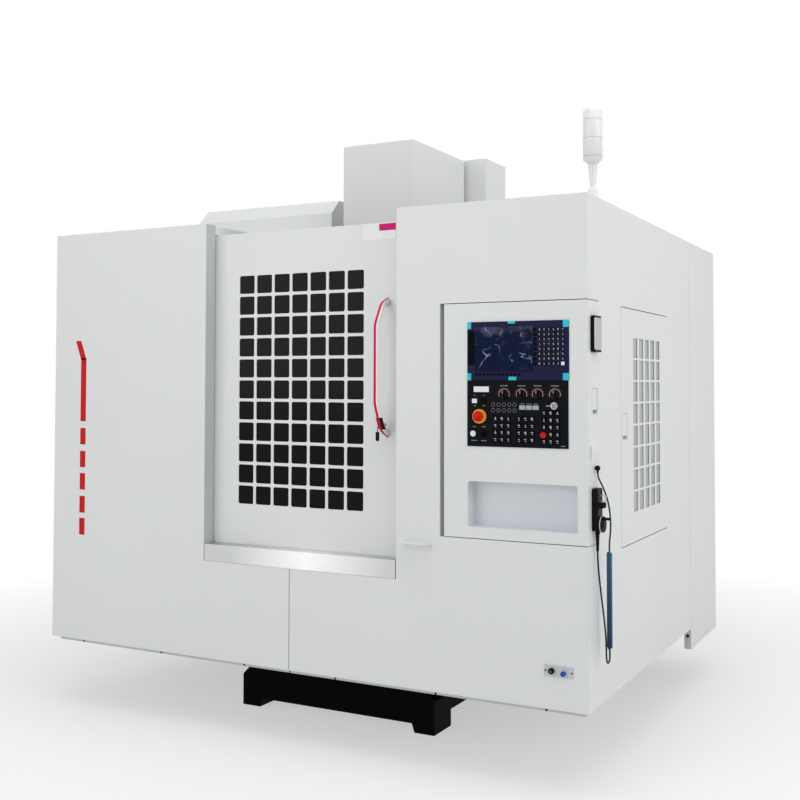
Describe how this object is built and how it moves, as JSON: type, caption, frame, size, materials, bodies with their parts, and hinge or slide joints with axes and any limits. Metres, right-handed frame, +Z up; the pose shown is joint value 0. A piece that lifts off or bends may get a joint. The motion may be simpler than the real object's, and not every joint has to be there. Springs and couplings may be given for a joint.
{
  "type": "cnc machining center",
  "caption": "Vertical machining centre in a sheet-metal enclosure, with a sliding grid-window door, a swinging control box, an arm-type tool changer and a hand pulse unit",
  "frame": {"origin": "centre of the bed's four anchor holes at floor level", "axes": "+X to the operator's right, +Y from the door to the rear, +Z up"},
  "size_m": [2.6623, 2.1973, 2.651],
  "materials": {
    "paint_light": "satin",
    "paint_grey": "satin",
    "stainless": "brushed",
    "cast_dark": "painted satin",
    "ground_steel": "ground",
    "steel_cover": "satin",
    "window": "clear dark",
    "black_plastic": "matt",
    "panel_film": "satin",
    "red_plastic": "gloss",
    "white_plastic": "gloss",
    "blue_plastic": "gloss",
    "clear_lid": "smoked",
    "cord_jacket": "matt",
    "coil_jacket": "satin"
  },
  "bodies": {
    "machine_base": {"bed_casting": "cast_dark", "column_casting": "cast_dark", "guide_rails": "ground_steel", "feed_drives": "black_plastic", "column_cover": "paint_light", "way_covers_fixed": "steel_cover", "front_panel_left": "paint_light", "front_panel_right": "paint_light", "door_sill": "stainless", "side_panel_left": "paint_light", "side_panel_right": "paint_light", "rear_panels": "paint_light", "roof_panels": "paint_light", "magazine_hood": "paint_light", "chip_pan": "paint_grey", "splash_guards": "paint_grey", "door_header": "paint_grey", "gun_holder": "stainless", "air_plate": "stainless", "stack_light": "white_plastic", "magazine_bracket": "cast_dark", "electrical_cabinet": "paint_light"},
    "sliding_door": {"door_panel": "paint_light", "door_window": "window", "door_handle": "paint_light"},
    "saddle_slide": {"saddle": "cast_dark", "x_feed_drive": "black_plastic"},
    "y_cover_stage": {"way_cover_y_middle": "steel_cover"},
    "table_slide": {"work_table": "ground_steel"},
    "head_slide": {"headstock": "cast_dark", "head_cover": "paint_light"},
    "z_cover_stage": {"way_cover_z_middle": "steel_cover"},
    "spindle_rotor": {"spindle": "ground_steel"},
    "magazine_wheel": {"tool_disc": "ground_steel"},
    "arm_spindle": {"tool_arm_shaft": "ground_steel"},
    "swap_arm": {"tool_arm": "ground_steel"},
    "control_console": {"control_box": "paint_light", "display_unit": "panel_film", "operator_panel": "panel_film", "pulse_unit": "black_plastic", "cord_upper": "cord_jacket", "cord_coil": "coil_jacket", "cord_lower": "cord_jacket"},
    "selector_1": {"selector_knob_1": "black_plastic"},
    "selector_2": {"selector_knob_2": "black_plastic"},
    "selector_3": {"selector_knob_3": "black_plastic"},
    "selector_4": {"selector_knob_4": "black_plastic"},
    "stop_plunger": {"stop_button": "red_plastic"},
    "start_plunger": {"start_button": "white_plastic"},
    "hold_plunger": {"hold_button": "black_plastic"},
    "red_plunger": {"red_button": "red_plastic"},
    "key_lock": {"key_switch": "ground_steel"},
    "port_flap": {"port_lid": "clear_lid"},
    "box_latch_lever": {"box_latch": "black_plastic"},
    "hand_wheel": {"pulse_wheel": "black_plastic"},
    "service_door": {"side_door": "paint_light"},
    "service_latch_lever": {"side_door_latch": "black_plastic"},
    "rear_door": {"cabinet_door": "paint_light"},
    "rear_switch": {"main_switch": "black_plastic"},
    "air_valve": {"air_knob": "blue_plastic"}
  },
  "joints": [
    {"name": "door_slide", "type": "slide", "parent": "machine_base", "child": "sliding_door", "axis": [-1, 0, 0], "range_m": [0, 0.84]},
    {"name": "y_axis", "type": "slide", "parent": "machine_base", "child": "saddle_slide", "axis": [0, 1, 0], "range_m": [-0.25, 0.25]},
    {"name": "y_cover_follow", "type": "slide", "parent": "machine_base", "child": "y_cover_stage", "axis": [0, 1, 0], "range_m": [-0.125, 0.125]},
    {"name": "x_axis", "type": "slide", "parent": "saddle_slide", "child": "table_slide", "axis": [1, 0, 0], "range_m": [-0.4, 0.4]},
    {"name": "z_axis", "type": "slide", "parent": "machine_base", "child": "head_slide", "axis": [0, 0, 1], "range_m": [-0.55, 0]},
    {"name": "z_cover_follow", "type": "slide", "parent": "machine_base", "child": "z_cover_stage", "axis": [0, 0, 1], "range_m": [-0.275, 0]},
    {"name": "spindle_turn", "type": "hinge", "parent": "head_slide", "child": "spindle_rotor", "pos_m": [0, -0.26, 1.8], "axis": [0, 0, 1], "continuous": true},
    {"name": "magazine_turn", "type": "hinge", "parent": "machine_base", "child": "magazine_wheel", "pos_m": [-0.7, 0.076, 1.9], "axis": [0, 1, 0], "continuous": true},
    {"name": "arm_drop", "type": "slide", "parent": "machine_base", "child": "arm_spindle", "axis": [0, 0, 1], "range_m": [-0.1, 0]},
    {"name": "arm_swing", "type": "hinge", "parent": "arm_spindle", "child": "swap_arm", "pos_m": [-0.35, -0.16, 1.5425], "axis": [0, 0, 1], "range_deg": [0, 254]},
    {"name": "console_swing", "type": "hinge", "parent": "machine_base", "child": "control_console", "pos_m": [1.3, -1.025, 1.35], "axis": [0, 0, 1], "range_deg": [0, 90]},
    {"name": "selector_1_turn", "type": "hinge", "parent": "control_console", "child": "selector_1", "pos_m": [0.976, -1.1533, 1.445], "axis": [0, -1, 0], "range_deg": [-135, 135]},
    {"name": "selector_2_turn", "type": "hinge", "parent": "control_console", "child": "selector_2", "pos_m": [1.046, -1.1533, 1.445], "axis": [0, -1, 0], "range_deg": [-135, 135]},
    {"name": "selector_3_turn", "type": "hinge", "parent": "control_console", "child": "selector_3", "pos_m": [1.109, -1.1533, 1.445], "axis": [0, -1, 0], "range_deg": [-135, 135]},
    {"name": "selector_4_turn", "type": "hinge", "parent": "control_console", "child": "selector_4", "pos_m": [1.176, -1.1533, 1.445], "axis": [0, -1, 0], "range_deg": [-135, 135]},
    {"name": "stop_press", "type": "slide", "parent": "control_console", "child": "stop_plunger", "axis": [0, 1, 0], "range_m": [0, 0.005]},
    {"name": "start_press", "type": "slide", "parent": "control_console", "child": "start_plunger", "axis": [0, 1, 0], "range_m": [0, 0.004], "stiffness_N_per_m": 700, "springref_m": -0.002},
    {"name": "hold_press", "type": "slide", "parent": "control_console", "child": "hold_plunger", "axis": [0, 1, 0], "range_m": [0, 0.004], "stiffness_N_per_m": 700, "springref_m": -0.002},
    {"name": "red_press", "type": "slide", "parent": "control_console", "child": "red_plunger", "axis": [0, 1, 0], "range_m": [0, 0.004], "stiffness_N_per_m": 700, "springref_m": -0.002},
    {"name": "key_turn", "type": "hinge", "parent": "control_console", "child": "key_lock", "pos_m": [1.172, -1.1533, 1.404], "axis": [0, -1, 0], "range_deg": [0, 90]},
    {"name": "port_flap_turn", "type": "hinge", "parent": "control_console", "child": "port_flap", "pos_m": [1.3143, -1.081, 1.609], "axis": [0, 1, 0], "range_deg": [0, 90]},
    {"name": "box_latch_lift", "type": "hinge", "parent": "control_console", "child": "box_latch_lever", "pos_m": [1.299, -1.076, 1.465], "axis": [0, -1, 0], "range_deg": [0, 40], "stiffness_Nm_per_rad": 0.4, "springref_deg": -11.46},
    {"name": "hand_wheel_turn", "type": "hinge", "parent": "control_console", "child": "hand_wheel", "pos_m": [1.3313, -1.086, 0.977], "axis": [1, 0, 0], "continuous": true},
    {"name": "service_door_swing", "type": "hinge", "parent": "machine_base", "child": "service_door", "pos_m": [1.3, -0.03, 1.3165], "axis": [0, 0, 1], "range_deg": [0, 110]},
    {"name": "service_latch_lift", "type": "hinge", "parent": "service_door", "child": "service_latch_lever", "pos_m": [1.299, -0.695, 1.363], "axis": [0, -1, 0], "range_deg": [0, 40], "stiffness_Nm_per_rad": 0.4, "springref_deg": -11.46},
    {"name": "rear_door_swing", "type": "hinge", "parent": "machine_base", "child": "rear_door", "pos_m": [0.4497, 0.97, 1.32], "axis": [0, 0, -1], "range_deg": [0, 110]},
    {"name": "rear_switch_turn", "type": "hinge", "parent": "rear_door", "child": "rear_switch", "pos_m": [-0.36, 0.98, 1.5], "axis": [0, 1, 0], "range_deg": [0, 90]},
    {"name": "air_valve_turn", "type": "hinge", "parent": "machine_base", "child": "air_valve", "pos_m": [1.206, -1.159, 0.442], "axis": [0, -1, 0], "range_deg": [0, 90]}
  ],
  "couplings": [
    {"joint": "y_cover_follow", "follows": "y_axis", "ratio": 0.5},
    {"joint": "z_cover_follow", "follows": "z_axis", "ratio": 0.5}
  ]
}
